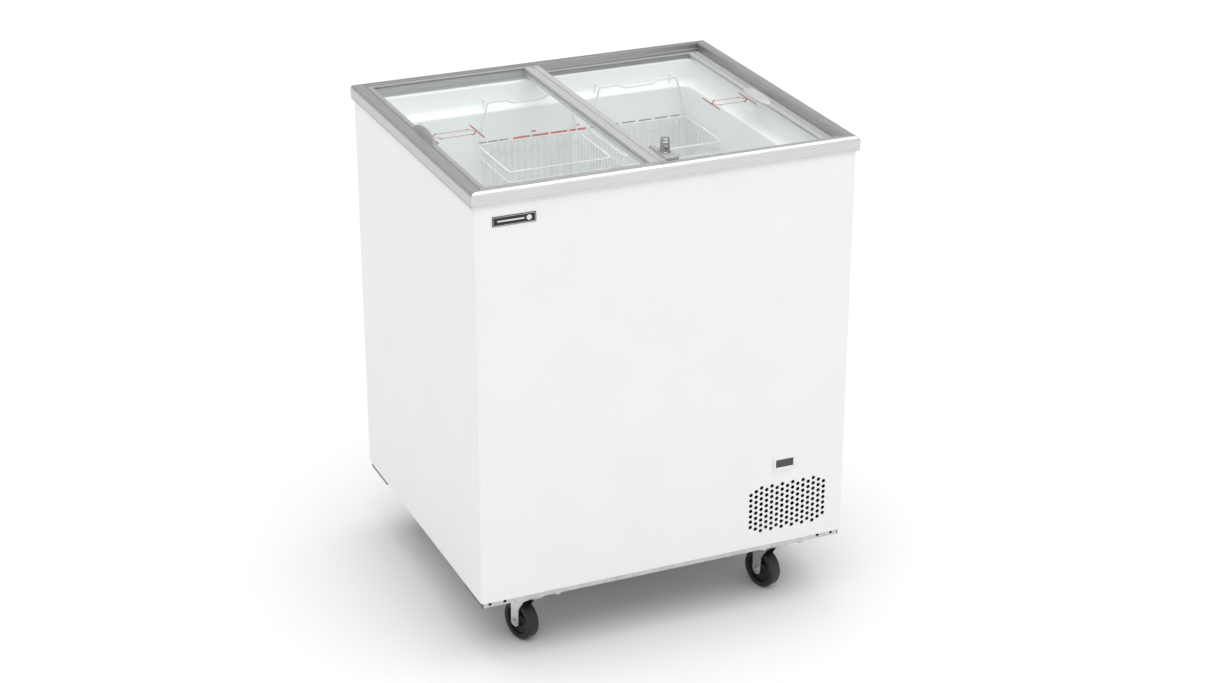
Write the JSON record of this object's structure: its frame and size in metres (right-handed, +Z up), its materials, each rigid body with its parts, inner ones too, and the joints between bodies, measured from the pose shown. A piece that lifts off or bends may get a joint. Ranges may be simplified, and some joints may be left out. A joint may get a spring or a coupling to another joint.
{
  "type": "chest display freezer",
  "caption": "White chest display freezer with sliding glass lids over a basket-fitted tub, aluminium top rails, front vent and display, on swivel castors.",
  "frame": {"origin": "on the floor, under the middle of the cabinet's plan", "axes": "+X to the right along the front, -Y out of the front, +Z up"},
  "size_m": [0.72, 0.63, 0.9228],
  "materials": {
    "white_paint": "semi-gloss powder coat",
    "white_plastic": "smooth moulded",
    "galvanised": "galvanised",
    "zinc": "bright zinc plate",
    "wheel_black": "moulded, satin",
    "rail_aluminium": "brushed and anodised",
    "grey_plastic": "satin",
    "lid_glass": "clear, slightly green at the edges",
    "foam": "rigid foam",
    "chrome": "polished",
    "lcd": "dark window",
    "black_plastic": "satin",
    "badge_black": "gloss",
    "white_wire": "plastic-coated wire",
    "black_paint": "gloss",
    "rubber": "matt",
    "fin_metal": "painted fins",
    "copper": "drawn tube"
  },
  "bodies": {
    "root": {"front_panel": "white_paint", "left_side_panel": "white_paint", "right_side_panel": "white_paint", "back_panel": "white_paint", "rear_grille": "white_paint", "base_pan": "galvanised", "foam_insulation": "foam", "inner_liner": "white_plastic", "front_rail": "rail_aluminium", "rear_rail": "rail_aluminium", "left_rail": "rail_aluminium", "right_rail": "rail_aluminium", "front_base_beam": "galvanised", "rear_base_beam": "galvanised", "beam_end_caps": "grey_plastic", "castor_plates": "galvanised", "castor_bolts": "galvanised", "display_bezel": "white_plastic", "display_window": "lcd", "controller": "black_plastic", "badge_plate": "badge_black", "compressor": "black_paint", "compressor_feet": "rubber", "compressor_tray": "galvanised", "terminal_box": "black_plastic", "condenser": "fin_metal", "fan_shroud": "galvanised", "fan_motor": "black_plastic", "filter_drier": "copper", "refrigerant_pipes": "copper", "evaporator_coil": "copper", "power_inlet": "black_plastic", "drain_spout": "galvanised"},
    "upper_lid": {"upper_glass": "lid_glass", "upper_grip_stile": "grey_plastic", "upper_centre_stile": "rail_aluminium", "upper_runners": "grey_plastic", "lock_housing": "grey_plastic"},
    "lock_core": {"lock_core": "chrome"},
    "lower_lid": {"lower_glass": "lid_glass", "lower_grip_stile": "rail_aluminium", "lower_centre_stile": "rail_aluminium", "lower_runners": "grey_plastic"},
    "basket_left": {"basket_left": "white_wire"},
    "basket_right": {"basket_right": "white_wire"},
    "drain_plug": {"drain_plug": "rubber"},
    "fan": {"fan_blades": "black_plastic"},
    "castor_fl": {"castor_fork_fl": "zinc", "castor_axle_fl": "zinc"},
    "wheel_fl": {"castor_wheel_fl": "wheel_black"},
    "castor_fr": {"castor_fork_fr": "zinc", "castor_axle_fr": "zinc"},
    "wheel_fr": {"castor_wheel_fr": "wheel_black"},
    "castor_rl": {"castor_fork_rl": "zinc", "castor_axle_rl": "zinc"},
    "wheel_rl": {"castor_wheel_rl": "wheel_black"},
    "castor_rr": {"castor_fork_rr": "zinc", "castor_axle_rr": "zinc"},
    "wheel_rr": {"castor_wheel_rr": "wheel_black"}
  },
  "joints": [
    {"name": "upper_lid_slide", "type": "slide", "parent": "root", "child": "upper_lid", "axis": [1, 0, 0], "range_m": [0, 0.3]},
    {"name": "lower_lid_slide", "type": "slide", "parent": "root", "child": "lower_lid", "axis": [1, 0, 0], "range_m": [-0.3, 0]},
    {"name": "lock_turn", "type": "hinge", "parent": "upper_lid", "child": "lock_core", "pos_m": [0.015, -0.255, 0.9], "axis": [0, 0, 1], "range_deg": [0, 90]},
    {"name": "swivel_fl", "type": "hinge", "parent": "root", "child": "castor_fl", "pos_m": [-0.243, -0.268, 0.09], "axis": [0, 0, 1], "continuous": true},
    {"name": "swivel_fr", "type": "hinge", "parent": "root", "child": "castor_fr", "pos_m": [0.243, -0.268, 0.09], "axis": [0, 0, 1], "continuous": true},
    {"name": "swivel_rl", "type": "hinge", "parent": "root", "child": "castor_rl", "pos_m": [-0.243, 0.268, 0.09], "axis": [0, 0, 1], "continuous": true},
    {"name": "swivel_rr", "type": "hinge", "parent": "root", "child": "castor_rr", "pos_m": [0.243, 0.268, 0.09], "axis": [0, 0, 1], "continuous": true},
    {"name": "roll_fl", "type": "hinge", "parent": "castor_fl", "child": "wheel_fl", "pos_m": [-0.25289, -0.23757, 0.0375], "axis": [-0.9511, -0.309, 0], "continuous": true},
    {"name": "roll_fr", "type": "hinge", "parent": "castor_fr", "child": "wheel_fr", "pos_m": [0.23311, -0.23757, 0.0375], "axis": [-0.9511, -0.309, 0], "continuous": true},
    {"name": "roll_rl", "type": "hinge", "parent": "castor_rl", "child": "wheel_rl", "pos_m": [-0.25289, 0.23757, 0.0375], "axis": [0.9511, -0.309, 0], "continuous": true},
    {"name": "roll_rr", "type": "hinge", "parent": "castor_rr", "child": "wheel_rr", "pos_m": [0.23311, 0.23757, 0.0375], "axis": [0.9511, -0.309, 0], "continuous": true},
    {"name": "fan_spin", "type": "hinge", "parent": "root", "child": "fan", "pos_m": [0.235, -0.25, 0.215], "axis": [0, 1, 0], "continuous": true},
    {"name": "basket_left_lift", "type": "slide", "parent": "root", "child": "basket_left", "axis": [0, 0, 1], "range_m": [0, 0.018]},
    {"name": "basket_right_lift", "type": "slide", "parent": "root", "child": "basket_right", "axis": [0, 0, 1], "range_m": [0, 0.018]},
    {"name": "drain_plug_pull", "type": "slide", "parent": "root", "child": "drain_plug", "axis": [0, 0, 1], "range_m": [0, 0.025]}
  ]
}
